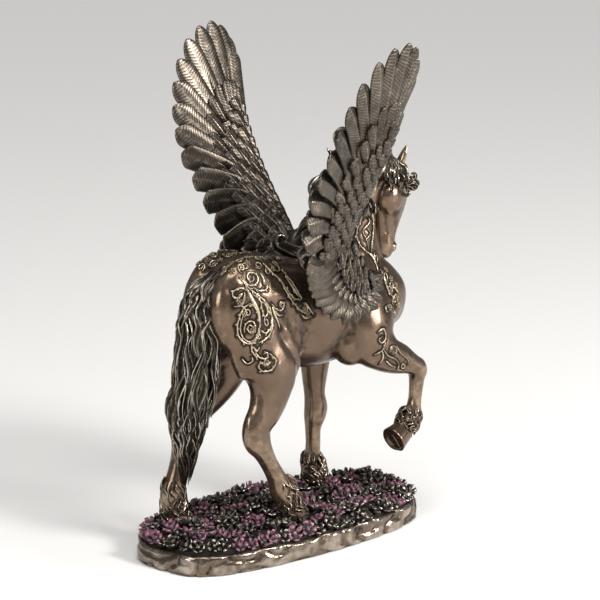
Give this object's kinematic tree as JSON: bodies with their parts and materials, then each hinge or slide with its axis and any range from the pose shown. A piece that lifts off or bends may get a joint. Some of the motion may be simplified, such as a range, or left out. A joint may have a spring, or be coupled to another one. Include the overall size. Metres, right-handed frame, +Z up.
{
  "type": "pegasus figurine",
  "caption": "Cast winged horse stepping over an oval bed of flowers, wings raised, in antique bronze finish.",
  "frame": {"origin": "middle of the base's flat underside", "axes": "+X the way the horse faces, +Y the horse's left, +Z up"},
  "size_m": [0.1761, 0.1594, 0.2656],
  "materials": {
    "antique_bronze": "satin",
    "dark_bronze": "satin",
    "blossom_paint": "matte"
  },
  "bodies": {
    "root": {"pegasus": "antique_bronze"}
  },
  "joints": []
}
